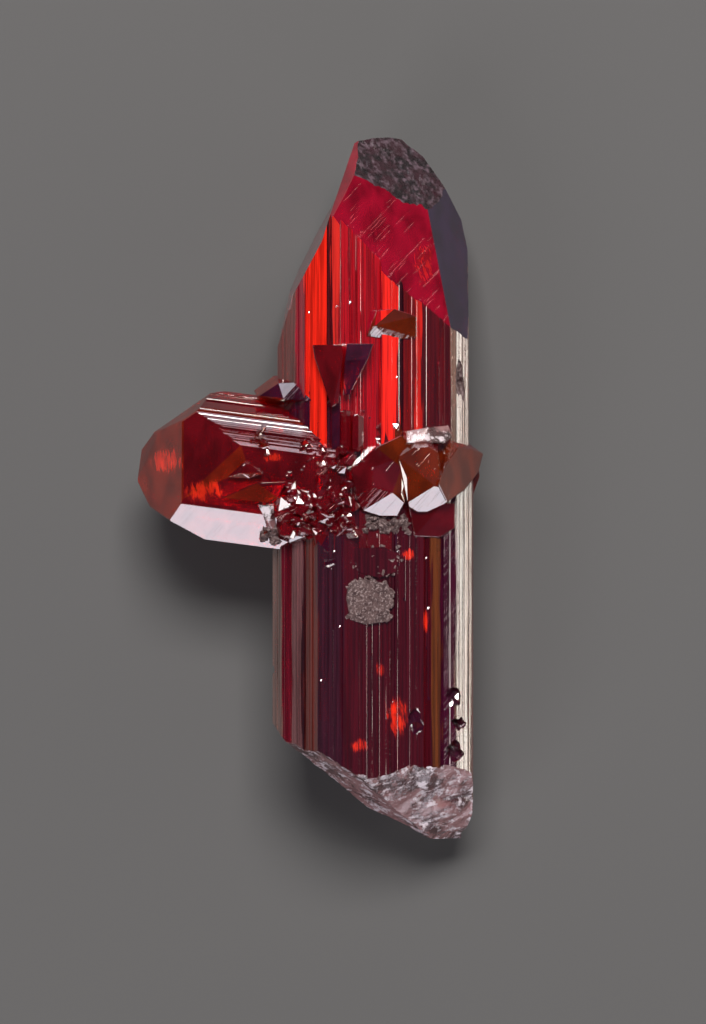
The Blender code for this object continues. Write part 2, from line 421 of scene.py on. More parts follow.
def rough_side(name: str, plane: Plane, inside: Point, reach: float, relief: Relief, coat: Coat) -> Body:
    """Make the cutter that leaves a rough face on one plane.

    Args:
        name: Name of the cutter.
        plane: The plane, by three points. The relief is centred on their middle.
        inside: A point on the side that stays.
        reach: Half the width of the cutter.
        relief: Unevenness of its rough sheet.
        coat: The finish that the cut face gets.

    Returns:
        The closed cutter.
    """
    normal = outward(plane, inside)
    centre = (Vector(plane[0]) + Vector(plane[1]) + Vector(plane[2])) / 3
    first = (Vector(plane[1]) - Vector(plane[0])).normalized()
    second = normal.cross(first)
    leave_edit()
    bpy.ops.mesh.primitive_grid_add(x_subdivisions=relief.cells, y_subdivisions=relief.cells, size=2.0)
    item = name_new(name)
    for vert in item.data.vertices:
        u = vert.co.x * reach
        v = vert.co.y * reach
        vert.co = centre + first * u + second * v + normal * relief.height(u, v)
    edit_all(item)
    bpy.ops.mesh.extrude_region_move(TRANSFORM_OT_translate={"value": normal * reach})
    return settle(item, coat)


def shard(name: str, centre: Vector, radius: float, flat: float, chance: random.Random, coat: Coat) -> Body:
    """Make one small uneven crystal.

    Args:
        name: Name of the crystal.
        centre: Its middle.
        radius: Its size.
        flat: Its height as a share of its width.
        chance: Source of its shape.
        coat: The finish of its faces.

    Returns:
        The closed crystal.
    """
    points = []
    for _ in range(GRAIN_CORNERS):
        away = Vector((chance.gauss(0, 1), chance.gauss(0, 1), chance.gauss(0, 1))).normalized() * radius
        points.append((centre.x + away.x, centre.y + away.y, centre.z + away.z * flat))
    return hull(name, points, coat)


def stepped(corners: Corners, spacing: float, height: float, seed: int) -> list[Corner]:
    """Add the growth steps of the striations between the corners of an open outline.

    Args:
        corners: The outline.
        spacing: Mean distance between two steps.
        height: Mean height of a step.
        seed: Number that the steps follow from.

    Returns:
        The outline with its steps.
    """
    chance = random.Random(seed)
    points = [corners[0]]
    for start, end in zip(corners[:-1], corners[1:]):
        run = Vector(end) - Vector(start)
        side = Vector((-run.y, run.x)).normalized()
        place = 0.0
        level = 0.0
        while True:
            stride = spacing * chance.choice(STRIDES)
            if place + stride > run.length - spacing * LAST_STRIDE:
                break
            place += stride
            base = Vector(start) + run * (place / run.length)
            drop = chance.choice(DROPS) * height
            following = -level * RETURN + drop * chance.choice((-1, 1)) * DROP_SHARE
            following = max(-height * DEEPEST, min(height * DEEPEST, following))
            tilt = run.normalized() * min(STEEPEST, spacing * STEEPNESS)
            before = base + side * level - tilt
            after = base + side * following + tilt
            points.append((before.x, before.y))
            points.append((after.x, after.y))
            level = following
        points.append(end)
    return points


@dataclass(frozen=True)
class Section:
    """A cross section of the prism in X and Z, above its flat resting side.

    The front runs from left to right, the right side downward and the left side upward.
    """

    front: Corners
    right: Corners
    left: Corners
    seed: int

    def front_at(self, x: float) -> float:
        """Find the height of the front face above the resting face.

        Args:
            x: Place across the prism.

        Returns:
            The height there.
        """
        for start, end in zip(self.front[:-1], self.front[1:]):
            if start[0] <= x <= end[0] and end[0] > start[0]:
                return start[1] + (end[1] - start[1]) * (x - start[0]) / (end[0] - start[0])
        return self.front[-1][1]


UPPER = Section(
    front=(
        (-96, 135), (-76, 157), (-74, 158), (-69, 165), (-68, 163), (-47, 178), (-46, 174), (-43, 173),
        (-42, 177), (-34, 176), (-33, 173), (6, 162), (7, 166), (24, 161), (25, 157), (28, 156), (29, 158),
        (41, 154), (47, 151), (76, 141), (82, 134), (93, 123), (94, 112),
    ),
    right=(
        (94, 112), (94, 70), (80, 50), (82, 46), (62, 26), (63, 22), (47, 0),
    ),
    left=(
        (-40, 0), (-60, 8), (-62, 12), (-76, 16), (-78, 30), (-84, 58), (-82, 62), (-90, 98), (-89, 102),
        (-96, 135),
    ),
    seed=1,
)
LOWER = Section(
    front=(
        (-101, 133), (-92, 146), (-83, 150), (-82, 154), (-72, 163), (-69, 162), (-60, 172), (-56, 179),
        (-32, 172), (-31, 174), (-8, 167), (-7, 164), (20, 157), (21, 159), (49, 150), (50, 146), (56, 147),
        (68, 142), (69, 145), (82, 137), (97, 122), (99, 110),
    ),
    right=(
        (99, 110), (99, 66), (86, 50), (88, 46), (66, 24), (67, 20), (50, 0),
    ),
    left=(
        (-42, 0), (-62, 8), (-64, 12), (-78, 16), (-80, 30), (-86, 58), (-85, 62), (-92, 98), (-91, 102),
        (-101, 133),
    ),
    seed=2,
)


@dataclass(frozen=True)
class Prism:
    """The tall prism, with its point, its broken foot and the steps along its faces."""

    spacing: float = 3.4
    back_spacing: float = 4.76
    height: float = 0.42
    top: float = 360.0
    meet: float = 8.0
    overlap: float = 20.0
    bottom: float = -360.0
    lift: float = 0.04
    right_seed: int = 20
    left_seed: int = 10
    top_box: tuple[Point, Point] = ((-200, -100, -50), (200, 355, 260))
    notch_box: tuple[Point, Point] = ((-200, 100, -50), (100, 500, 260))
    foot_box: tuple[Point, Point] = ((-200, -353, -50), (200, 100, 260))
    in_upper: Point = (0, 100, 90)
    in_lower: Point = (0, -100, 90)
    in_notch: Point = (-150, 400, 90)
    top_planes: tuple[Plane, ...] = (
        ((-43, 272, 177.05), (76, 159, 141.07), (53, 281, 106)),
        ((53, 281, 106), (76, 159, 141.07), (92, 263, 60)),
        ((-96, 146, 110), (-83, 193, 110), (-92, 146, 170)),
        ((47, 341, 60), (93, 260, 60), (60, 288, 0)),
        ((30, 351, 60), (47, 341, 60), (22, 320, 20)),
        ((-20, 344, 100), (3, 351, 84), (-16, 330, 50)),
        ((3, 352, 80), (30, 353, 60), (10, 300, 4)),
    )
    cap: Plane = ((-18, 312, 142), (53, 281, 106), (17, 355, 66))
    shoulder: Plane = ((-83, 193, 110), (-43, 271, 110), (-78, 193, 170))
    strip: Plane = ((-41, 268, 177), (-18, 312, 142), (-20, 343, 104))
    flank: Plane = ((-43, 271, 160), (-20, 343, 100), (-41, 271, 30))
    break_left: Plane = ((-71, -256, 172), (-25, -281, 172), (0, -316, 90))
    break_right: Plane = ((6, -284, 163), (78, -281, 137), (60, -353, 66))
    bottom_planes: tuple[Plane, ...] = (
        ((101, -318, 66), (93, -345, 66), (100, -330, 100)),
        ((-101, -226, 100), (-60, -262, 60), (-60, -248, 0)),
        ((0, -318, 40), (66, -354, 50), (30, -320, 0)),
    )
    cap_reach: float = 110.0
    break_reach: float = 190.0
    cap_relief: Relief = Relief(2.6, 30.0, 2.4, 17.0, 0.45, 4.0, 2.0, 110)
    left_relief: Relief = Relief(3.0, 34.0, 3.4, 17.0, 0.8, 3.6, 11.0, 130)
    right_relief: Relief = Relief(6.0, 46.0, 6.0, 30.0, 0.7, 4.0, 23.0, 130)

    def ring(self, section: Section) -> list[Corner]:
        """Join the stepped sides of a cross section.

        Args:
            section: The cross section.

        Returns:
            The closed outline.
        """
        over = stepped(section.front, self.spacing, self.height, section.seed)
        down = stepped(section.right, self.back_spacing, self.height, section.seed + self.right_seed)
        rise = stepped(section.left, self.back_spacing, self.height, section.seed + self.left_seed)
        return over + down[1:] + rise[:-1]

    def upper(self) -> Body:
        """Build the part above the crossing, up to the point."""
        body = drawn_out("upper", self.ring(UPPER), self.meet - self.overlap, self.top)
        for vert in body.data.vertices:
            vert.co.z = max(vert.co.z, self.lift)
        point = block("point", self.top_box, self.top_planes, self.in_upper, Coat.CRYSTAL)
        combine(body, point, Join.KEEP)
        for planes in ((self.shoulder, self.strip), (self.shoulder, self.flank)):
            combine(body, block("notch", self.notch_box, planes, self.in_notch, Coat.CRYSTAL), Join.CUT)
        rough = rough_side("cap", self.cap, self.in_upper, self.cap_reach, self.cap_relief, Coat.FROSTED)
        combine(body, rough, Join.CUT)
        return body

    def lower(self) -> Body:
        """Build the part below the crossing, down to the break."""
        body = drawn_out("lower", self.ring(LOWER), self.bottom, self.meet)
        foot = block("foot", self.foot_box, self.bottom_planes, self.in_lower, Coat.FRACTURE)
        combine(body, foot, Join.KEEP)
        for plane, relief in ((self.break_left, self.left_relief), (self.break_right, self.right_relief)):
            rough = rough_side("break", plane, self.in_lower, self.break_reach, relief, Coat.FRACTURE)
            combine(body, rough, Join.CUT)
        return body


@dataclass(frozen=True)
class Ridges:
    """The ridges that run along part of the front only."""

    count: int = 18
    seed: int = 31
    across: Corner = (-66, 72)
    high_share: float = 0.42
    high: Corner = (75, 150)
    low: Corner = (-230, -70)
    early: float = 20
    length: Corner = (22, 110)
    crest: float = 205
    crest_slope: float = 0.6
    low_end: float = -62
    shortest: float = 14
    wide: Corner = (0.7, 2.2)
    rise: Corner = (0.5, 1.3)
    sunk: float = 1.5
    tail: Corner = (3, 2)
    fade: Corner = (0.4, 0.3)
    crest_left: float = 0.5
    crest_right: float = 0.6

    def build(self, meet: float) -> list[Body]:
        """Build the ridges as closed bodies.

        Args:
            meet: Where the upper part of the prism starts.

        Returns:
            The ridges.
        """
        chance = random.Random(self.seed)
        made = []
        for index in range(self.count):
            x = chance.uniform(*self.across)
            high = chance.random() < self.high_share
            reach = self.high if high else self.low
            start = chance.uniform(reach[0] - self.early, reach[1])
            end = start + chance.uniform(*self.length)
            end = min(end, self.crest - x * self.crest_slope if high else self.low_end)
            if end - start < self.shortest:
                continue
            wide = chance.uniform(*self.wide)
            rise = chance.uniform(*self.rise)
            z = (UPPER if start > meet else LOWER).front_at(x)
            points = []
            first = ((start, self.fade[0]), (start + self.tail[0], 1.0))
            last = ((end - self.tail[1], 1.0), (end, self.fade[1]))
            for along, share in first + last:
                points.append((x - wide, along, z - self.sunk))
                points.append((x + wide, along, z - self.sunk))
                points.append((x - wide * self.crest_left, along, z + rise * share))
                points.append((x + wide * self.crest_right, along, z + rise * share * self.crest_right))
            made.append(hull(f"bar {index}", points, Coat.CRYSTAL))
        return made


@dataclass(frozen=True)
class Arm:
    """The crystal that crosses the prism and sticks out on the left."""

    pivot: Point = (-134.0, 22.0, 0.0)
    left: float = -260.0
    right: float = -40.0
    spacing: float = 3.6
    height: float = 0.7
    steps_seed: int = 4
    edge: float = 1.2
    edge_angle: float = 12.0
    striated: Corners = (
        (72, 112), (61, 146), (59, 147), (50, 163), (48, 163), (36, 174), (34, 173), (20, 182),
    )
    plain: Corners = (
        (-45, 168), (-77, 143), (-76, 110), (-70, 46), (-66, 40), (-24, 12), (-20, 10), (40, 12), (44, 18),
        (68, 52),
    )
    box: tuple[Point, Point] = ((-300, -200, -50), (0, 200, 260))
    inside: Point = (-134, 22, 90)
    planes: tuple[Plane, ...] = (
        ((-190, 75, 159), (-190, 14, 166), (-237, 7, 104)),
        ((-177, 78, 163), (-130, 38, 183), (-190, 14, 166)),
        ((-196, 72, 120), (-222, 53, 120), (-190, 64, 172)),
        ((-222, 53, 112), (-237, 7, 104), (-205, 40, 160)),
        ((-243, -5, 118), (-204, -14, 160), (-220, -28, 140)),
        ((-237, 7, 104), (-235, -6, 100), (-198, 0, 20)),
        ((-196, 72, 120), (-222, 53, 112), (-185, 30, 10)),
        ((-209, -28, 140), (-165, -53, 143), (-190, -30, 12)),
        ((-237, 7, 104), (-232, -5, 118), (-209, -28, 90)),
    )

    def build(self) -> Body:
        """Build the crossing crystal with its blunt end."""
        ring = [*stepped(self.striated, self.spacing, self.height, self.steps_seed), *self.plain]
        body = drawn_out("arm", ring, self.left, self.right)
        turn = Matrix.Rotation(math.radians(-ARM_SLOPE), 3, "Z")
        pivot = Vector(self.pivot)
        for vert in body.data.vertices:
            lying = Vector((vert.co.y - pivot.x, vert.co.x, vert.co.z))
            vert.co = turn @ lying + pivot
        settle(body, Coat.CRYSTAL)
        ends = block("arm end", self.box, self.planes, self.inside, Coat.CRYSTAL)
        bevel(ends, self.edge, self.edge_angle)
        combine(body, ends, Join.KEEP)
        return body


@dataclass(frozen=True)
class Gem:
    """One separate small crystal that is grown on the prism, by its corner points in grid steps."""

    name: str
    corners: tuple[Point, ...]
    coat: Coat = Coat.CRYSTAL

    def build(self) -> Body:
        """Build the crystal, with a fine bevel that catches the light."""
        return hull(self.name, self.corners, self.coat, EDGE)


GEMS = (
    Gem("lens", (
        (-120, 97, 120), (-100, 112, 122), (-85, 113, 124), (-62, 106, 128), (-60, 86, 168), (-90, 88, 164),
        (-115, 91, 150), (-95, 104, 152), (-75, 105, 154), (-110, 76, 100), (-60, 76, 100),
    )),
    Gem("blade left", (
        (-61, 141, 180), (-32, 141, 193), (-59, 128, 181), (-31, 130, 195), (-42, 79, 188), (-35, 84, 186),
        (-61, 141, 150), (-30, 141, 150), (-40, 79, 150),
    )),
    Gem("blade right", (
        (-27, 142, 193), (-1, 142, 186), (-6, 127, 189), (-24, 92, 184), (-31, 91, 186), (-29, 125, 197),
        (-27, 142, 150), (-1, 142, 150), (-28, 91, 150),
    )),
    Gem("rod left", (
        (-33, 76, 180), (-28, 77, 187), (-23, 76, 180), (-33, 40, 181), (-28, 38, 188), (-23, 40, 181),
        (-28, 76, 150), (-28, 38, 150),
    )),
    Gem("rod right", (
        (-22, 71, 180), (-16, 73, 188), (-10, 70, 180), (-22, 38, 182), (-16, 35, 190), (-10, 38, 182),
        (-16, 71, 150), (-16, 36, 150),
    )),
    Gem("cluster left", (
        (2, 40, 178), (27, 52, 166), (39, 41, 168), (18, 27, 180), (-23, 16, 183), (-2, 20, 187),
        (27, 20, 179), (-1, 1, 189), (18, -5, 184), (27, -6, 180), (30, -15, 175), (-18, -8, 182),
        (23, -28, 165), (5, -28, 168), (-11, -23, 173), (0, 44, 130), (38, 44, 130), (20, -30, 130),
        (-16, -20, 130),
    )),
    Gem("cluster middle", (
        (24, 30, 183), (40, 40, 180), (53, 41, 177), (63, 35, 175), (64, 12, 178), (59, 2, 179),
        (32, 12, 181), (33, -14, 174), (64, 1, 177), (72, -14, 163.5), (66, -18, 162), (53, -24, 161),
        (43, -24, 163.7), (34, -19, 170), (24, 34, 120), (63, 52, 130), (40, 56, 140), (72, -14, 120),
        (40, -22, 120),
    )),
    Gem("cluster right", (
        (69, 20, 172), (83, 40, 150), (99, 38, 128), (106, 28, 121), (104, 16, 128), (90, -2, 152),
        (72, -14, 174), (63, 4, 183), (109, 34, 112), (95, 44, 112), (72, 52, 130), (80, 50, 84),
        (100, 30, 78), (90, -2, 84), (70, -14, 90),
    )),
    Gem("cluster back", (
        (104, 30, 96), (106, 12, 92), (96, -16, 90), (100, 26, 52), (96, 4, 40), (84, -18, 40),
        (70, 30, 26), (66, -10, 24), (70, 34, 90), (74, -20, 90),
    )),
    # painted highlight: the bank takes the pale fracture finish to stand for the white glare of light on its
    # top
    Gem("bank", (
        (32, 56, 164), (54, 60, 162), (74, 62, 146), (78, 50, 138), (70, 44, 158), (48, 46, 168),
        (32, 44, 171), (38, 50, 120), (74, 50, 100),
    ), Coat.FRACTURE),
    Gem("ridge left", (
        (-151, -10, 176), (-116, 5, 184), (-86, 6, 184), (-95, -10, 181), (-106, -15, 178), (-140, -6, 160),
        (-90, 0, 160), (-100, -12, 150),
    )),
    Gem("wedge left", (
        (-146, 10, 181), (-128, 26, 184), (-123, 9, 184), (-110, 14, 184), (-130, 14, 189), (-140, 10, 160),
        (-115, 14, 160),
    )),
    Gem("beige ridge", (
        (-116, -16, 170), (-100, -18, 176), (-94, -52, 150), (-106, -56, 138), (-104, -36, 168),
        (-112, -30, 120), (-90, -30, 120),
    ), Coat.FRACTURE),
    Gem("cluster foot", (
        (34, -17, 164), (80, -15, 150), (80, -40, 144), (66, -49, 146), (40, -48, 154), (34, -20, 130),
        (82, -20, 120), (60, -52, 120),
    )),
    Gem("step below", (
        (-97, -32, 168), (-84, -31, 176), (-65, -35, 178), (-58, -45, 174), (-61, -51, 164),
        (-84, -55, 158), (-96, -50, 156), (-90, -30, 130), (-60, -52, 130),
    )),
    Gem("chip below", (
        (-60, -46, 180), (-46, -46, 181), (-44, -64, 176), (-56, -64, 176), (-60, -60, 150),
        (-44, -64, 150),
    )),
    Gem("ledge", (
        (-8, 176, 160), (3, 175, 173), (20, 177, 171), (42, 170, 165), (42, 149, 158), (18, 146, 160),
        (-8, 150, 167), (0, 160, 173), (-8, 170, 150), (42, 160, 140),
    )),
    Gem("crust patch", (
        (-26, -92, 172), (-8, -90, 170.5), (14, -95, 164), (17, -112, 162), (12, -133, 163.5),
        (-8, -136, 169), (-24, -131, 173), (-28, -110, 174), (-20, -110, 150), (10, -110, 150),
    ), Coat.CRUST),
    Gem("mottle", (
        (-18, -60, 170), (10, -58, 164), (26, -66, 159), (22, -84, 160), (4, -90, 165), (-16, -84, 170),
        (-20, -72, 171), (0, -75, 150),
    )),
)


@dataclass(frozen=True)
class Patch:
    """A field of small grains on the stone.

    The level is the height of their middles at its left and at its right edge, the radii are the smallest
    and the largest, and flat is the height of a grain as a share of its width.
    """

    across: Corner
    along: Corner
    level: Corner
    count: int
    radii: Corner
    flat: float
    seed: int
    coat: Coat

    def build(self) -> list[Body]:
        """Build the grains as closed bodies."""
        chance = random.Random(self.seed)
        made = []
        for index in range(self.count):
            x = chance.uniform(*self.across)
            y = chance.uniform(*self.along)
            share = (x - self.across[0]) / (self.across[1] - self.across[0])
            z = self.level[0] + (self.level[1] - self.level[0]) * share
            size = chance.uniform(*self.radii)
            name = f"shard {self.seed}-{index}"
            made.append(shard(name, Vector((x, y, z)), size, self.flat, chance, self.coat))
        return made


PATCHES = (
    Patch((-88, -22), (-46, 40), (172, 175), 60, (7, 13), 0.9, 8, Coat.CRYSTAL),
    Patch((-88, -22), (-50, 44), (178, 183), 50, (2.5, 6), 0.9, 19, Coat.CRYSTAL),
    Patch((-26, 16), (-133, -93), (172.6, 161.6), 90, (2.5, 6), 0.35, 3, Coat.CRUST),
    Patch((-22, 28), (-92, -58), (171, 158), 30, (1.6, 4), 0.4, 23, Coat.CRUST),
    Patch((-9, 34), (-44, -28), (166, 154), 50, (2.5, 6), 0.9, 5, Coat.CRUST),
    Patch((-112, -96), (-54, -20), (152, 162), 30, (2.5, 6), 0.9, 9, Coat.CRUST),
    Patch((-128, -106), (26, 60), (174, 181), 26, (3, 5.5), 0.9, 7, Coat.CRYSTAL),
    Patch((-10, 24), (40, 70), (160, 158), 20, (4, 9), 0.8, 12, Coat.CRYSTAL),
    Patch((-60, 0), (62, 76), (172, 162), 14, (3, 7), 0.9, 13, Coat.CRYSTAL),
)


@dataclass(frozen=True)
class Chip:
    """A chip or pit that is knocked out of a face or an edge, turned about Z by its slope in degrees."""

    centre: Point
    radii: Point
    slope: float
    coat: Coat

    def build(self, seed: int) -> Body:
        """Build the uneven body that is cut out.

        Args:
            seed: Number that its unevenness follows from.

        Returns:
            The closed cutter.
        """
        chance = random.Random(seed)
        leave_edit()
        bpy.ops.mesh.primitive_ico_sphere_add(subdivisions=2, radius=1.0)
        item = name_new(f"chip {seed}")
        turn = Matrix.Rotation(math.radians(self.slope), 3, "Z")
        start = Vector((chance.uniform(0, CHIP_SOURCES), 0, 0))
        for vert in item.data.vertices:
            swell = CHIP_CORE + CHIP_SWELL * noise.noise(Vector(vert.co) * CHIP_PACE + start)
            vert.co = turn @ (Vector(vert.co) * Vector(self.radii) * swell) + Vector(self.centre)
        return paint_all(item, self.coat)


CHIPS = (
    Chip((-41, -75, 178), (12, 6, 5), 10, Coat.CRYSTAL),
    Chip((80, -208, 138), (9, 12, 10), 0, Coat.CRYSTAL),
    Chip((82, -234, 132), (10, 8, 9), 0, Coat.CRYSTAL),
    Chip((80, -262, 138), (12, 12, 16), 20, Coat.CRYSTAL),
    Chip((42, -232, 153), (11, 15, 5), 15, Coat.CRYSTAL),
    Chip((86, 106, 132), (6, 24, 8), 4, Coat.CRUST),
    Chip((-88, 190, 150), (9, 14, 8), 0, Coat.FRACTURE),
    Chip((97, -110, 100), (7, 18, 9), 5, Coat.FRACTURE),
    Chip((-100, -180, 128), (6, 14, 8), 0, Coat.FRACTURE),
    Chip((-88, -120, 60), (8, 20, 14), 0, Coat.FRACTURE),
    Chip((88, 190, 60), (10, 26, 14), 12, Coat.FRACTURE),
)


@dataclass(frozen=True)
class Stone:
    """The whole specimen, in one closed mesh.

    Home is a place in the prism, which tells the body that is kept.
    """

    prism: Prism = Prism()
    ridges: Ridges = Ridges()
    arm: Arm = Arm()
    home: Point = (47, -100, 0)

    def build(self) -> Body:
        """Build all bodies and grow them together.

        Returns:
            The specimen, in metres.
        """
        stone = self.prism.upper()
        combine(stone, self.prism.lower(), Join.ADD)
        combine(stone, self.arm.build(), Join.ADD)
        LOG.info("prism and crossing crystal: %d faces", len(stone.data.polygons))
        for gem in GEMS:
            combine(stone, gem.build(), Join.ADD)
        combine(stone, grown(self.ridges.build(self.prism.meet)), Join.ADD)
        for patch in PATCHES:
            combine(stone, grown(patch.build()), Join.ADD)
        LOG.info("with the small crystals: %d faces", len(stone.data.polygons))
        for seed, chip in enumerate(CHIPS):
            combine(stone, chip.build(seed), Join.CUT)
        self.clean(stone)
        return stone

    def clean(self, stone: Body) -> None:
        """Keep the one body, bring it to metres and set its faces flat.

        Args:
            stone: The specimen in grid steps.
        """
        edit_all(stone)
        bpy.ops.mesh.select_all(action="DESELECT")
        leave_edit()
        home = min(stone.data.vertices, key=lambda vert: (vert.co - Vector(self.home)).length)
        home.select = True
        take(stone)
        bpy.ops.object.mode_set(mode="EDIT")
        bpy.ops.mesh.select_linked()
        bpy.ops.mesh.select_all(action="INVERT")
        bpy.ops.mesh.delete(type="VERT")
        leave_edit()
        for vert in stone.data.vertices:
            vert.co = Vector(vert.co) * GRID
        for face in stone.data.polygons:
            face.use_smooth = False
        stone.name = "proustite_stone"
        stone.data.name = "proustite_stone"


@dataclass(frozen=True)
class Zone:
    """A region of the stone, by its reach in X and Y and the height that it starts at, in grid steps."""

    across: Corner
    along: Corner
    above: float = -FAR

    def holds(self, place: Vector) -> bool:
        """Tell whether a place lies in the region."""
        across = self.across[0] < place.x < self.across[1]
        return across and self.along[0] < place.y < self.along[1] and place.z > self.above


@dataclass(frozen=True)
class Zones:
    """Marks each face with the hue and the fine lines that it carries. Some of the hues are painted light,
    chosen by where a face lies and which way it looks.
    """

    arm: Zone = Zone((-FAR, -100), (-60, 110))
    arm_bands: Zone = Zone((-176, -100), (-60, 110))
    arm_front: Zone = Zone((-FAR, -50), (-56, 100), 100)
    blades: Zone = Zone((-62, 0), (76, 143), 180)
    left_blade: Zone = Zone((-62, -30), (76, 143), 180)
    point: Zone = Zone((-FAR, FAR), (110, FAR))
    tip: Zone = Zone((-FAR, FAR), (330, FAR))
    ledge: Zone = Zone((-12, 46), (140, 180))
    crossing: Zone = Zone((-FAR, FAR), (-56, 66))
    cluster: Zone = Zone((20, FAR), (-16, 66))
    plain_length: Corner = (-58, 80)
    long_face: float = 60.0
    front_tilt: float = 0.45
    along_arm: float = 0.08
    along_prism: float = 0.06
    level: float = 0.9
    leaning: float = 0.1
    sloping: float = 0.15
    facing_up: float = 0.3
    facing_right: float = 0.7

    def grain(self, place: Vector, normal: Vector, reach: float) -> Grain:
        """Tell in which direction a face is striated.

        Args:
            place: Middle of the face, in grid steps.
            normal: Its normal.
            reach: Its length along the prism.

        Returns:
            The direction of its lines.
        """
        on_arm = self.arm_front.holds(place) and normal.y > self.leaning
        if on_arm and abs(normal.dot(ARM_AXIS)) < self.along_arm:
            return Grain.ARM
        if self.blades.holds(place):
            return Grain.NONE
        long = reach > self.long_face or not self.plain_length[0] < place.y < self.plain_length[1]
        if long and abs(normal.y) < self.along_prism and abs(normal.x) + abs(normal.z) > self.level:
            return Grain.PRISM
        return Grain.NONE

    def tint(self, place: Vector, normal: Vector) -> Tint:
        """Tell the hue of a face. Some of the hues are painted glow and painted purple reflection.

        Args:
            place: Middle of the face, in grid steps.
            normal: Its normal.

        Returns:
            The hue.
        """
        # painted reflection on the right blade, which gets the purple dusk hue; the left blade keeps the
        # dark wine red
        if self.blades.holds(place):
            return Tint.WINE if self.left_blade.holds(place) else Tint.DUSK
        if self.arm.holds(place):
            # painted glow: the crossing crystal is painted orange, except the faces of its bands that look
            # up and towards the point, which keep the darker wine red
            banded = self.arm_bands.holds(place) and normal.y > self.leaning
            return Tint.WINE if banded and normal.z > self.facing_up else Tint.ORANGE
        # on the point, faces that look right and the tip get the painted violet reflection, the others the
        # crimson that is partly painted glow
        if self.point.holds(place) and normal.y > self.sloping:
            return Tint.VIOLET if normal.x > self.facing_right or self.tip.holds(place) else Tint.CRIMSON
        if self.ledge.holds(place) and abs(normal.y) > self.leaning:
            return Tint.AMBER
        if normal.z < self.facing_up:
            return Tint.PLAIN
        if self.crossing.holds(place):
            return Tint.AMBER if self.cluster.holds(place) else Tint.WINE
        # the remaining faces that look up get the painted purple reflection
        return Tint.DUSK

    def mark(self, stone: Body) -> None:
        """Write the hue, with its painted glow and painted reflection, and the lines of every face to the
        mesh.

        Args:
            stone: The finished specimen, in metres.
        """
        mesh = stone.data
        mesh.attributes.new("tint", "FLOAT_COLOR", "FACE")
        for name in ("clear", "striped", "lines_prism", "lines_arm"):
            mesh.attributes.new(name, "FLOAT", "FACE")
        tints = mesh.attributes["tint"].data
        clear = mesh.attributes["clear"].data
        striped = mesh.attributes["striped"].data
        lines = {
            Grain.PRISM: mesh.attributes["lines_prism"].data,
            Grain.ARM: mesh.attributes["lines_arm"].data,
        }
        for face in mesh.polygons:
            place = face.center / GRID
            red, green, blue, share = self.tint(place, face.normal).value
            tints[face.index].color = (red, green, blue, 1.0)
            clear[face.index].value = share
            along = [mesh.vertices[index].co.y / GRID for index in face.vertices]
            kind = self.grain(place, face.normal, max(along) - min(along))
            striped[face.index].value = float(kind is Grain.PRISM and face.normal.z > self.front_tilt)
            if kind in lines:
                lines[kind][face.index].value = 1.0


@dataclass(frozen=True)
class Cloud:
    """A noise on the object, and the span of its values that is mapped on a result.

    It is stretched in grid steps along each axis. Detail and rough are its finer octaves and their
    share, turn is its turn about Z in degrees, and shift its bend by itself. Without a span it is plain.
    """

    stretch: Point
    detail: float = 2.0
    rough: float = 0.5
    turn: float = 0.0
    shift: float = 0.0
    span: Corner | None = None
    result: Corner = (0.0, 1.0)


